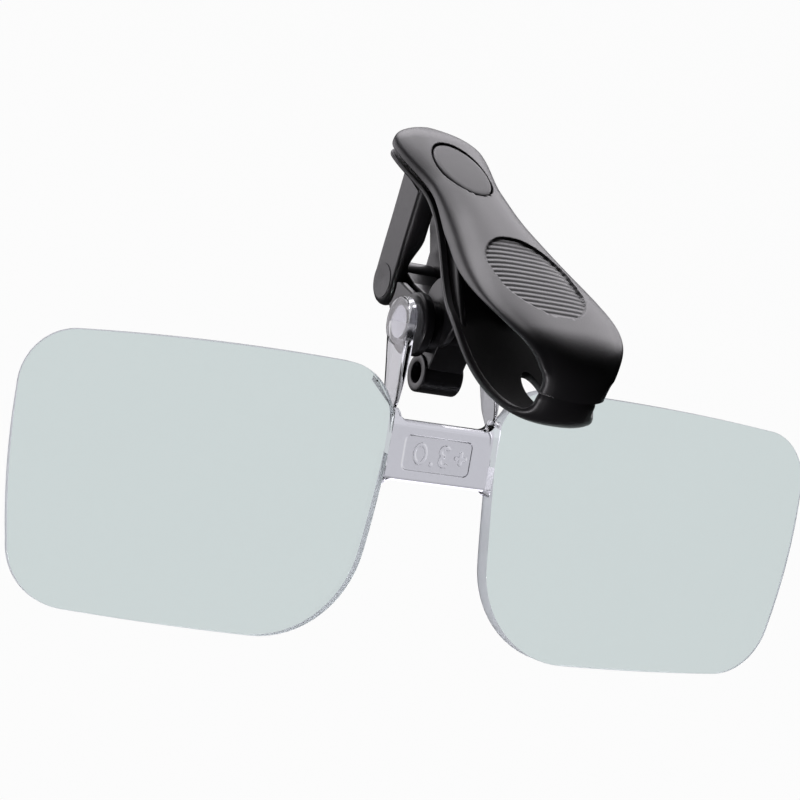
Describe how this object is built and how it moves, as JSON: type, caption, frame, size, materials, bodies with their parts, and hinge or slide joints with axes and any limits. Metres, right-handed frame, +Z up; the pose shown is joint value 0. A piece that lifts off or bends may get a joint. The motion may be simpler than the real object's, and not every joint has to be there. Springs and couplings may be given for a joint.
{
  "type": "clip-on hat magnifier",
  "caption": "Clip-on magnifier for a hat brim: a sprung jaw clip, a two-pivot link and a clear one-piece pair of lenses that flips up out of view.",
  "frame": {"origin": "middle of the clip's mouth, between the tips of the jaws, where the brim of a hat goes in", "axes": "+X to the right seen from the front, across both lenses; +Y into the hat, out of the mouth; +Z up, square to the clip"},
  "size_m": [0.1096, 0.0564, 0.0506],
  "materials": {
    "clip_plastic": "fine spark-eroded texture, satin",
    "link_plastic": "satin",
    "steel": "drawn wire",
    "clear_acrylic": "polished clear acrylic"
  },
  "bodies": {
    "clip_base": {"lower_jaw": "clip_plastic", "jaw_pin": "steel", "link_pin": "steel"},
    "clip_top": {"upper_jaw": "clip_plastic", "badge": "clip_plastic", "jaw_spring": "steel"},
    "link": {"hinge_link": "link_plastic", "lens_axle": "steel", "friction_disc_left": "link_plastic", "friction_disc_right": "link_plastic"},
    "lens_pair": {"lens": "clear_acrylic"}
  },
  "joints": [
    {"name": "jaw_open", "type": "hinge", "parent": "clip_base", "child": "clip_top", "pos_m": [0, -0.022, -0.0008], "axis": [1, 0, 0], "range_deg": [0, 3], "stiffness_Nm_per_rad": 0.2, "springref_deg": -17.19},
    {"name": "link_tilt", "type": "hinge", "parent": "clip_base", "child": "link", "pos_m": [0, -0.0089, -0.0147], "axis": [1, 0, 0], "range_deg": [0, 60]},
    {"name": "lens_flip", "type": "hinge", "parent": "link", "child": "lens_pair", "pos_m": [0, -0.0216, -0.0133], "axis": [-1, 0, 0], "range_deg": [-30, 62]}
  ]
}
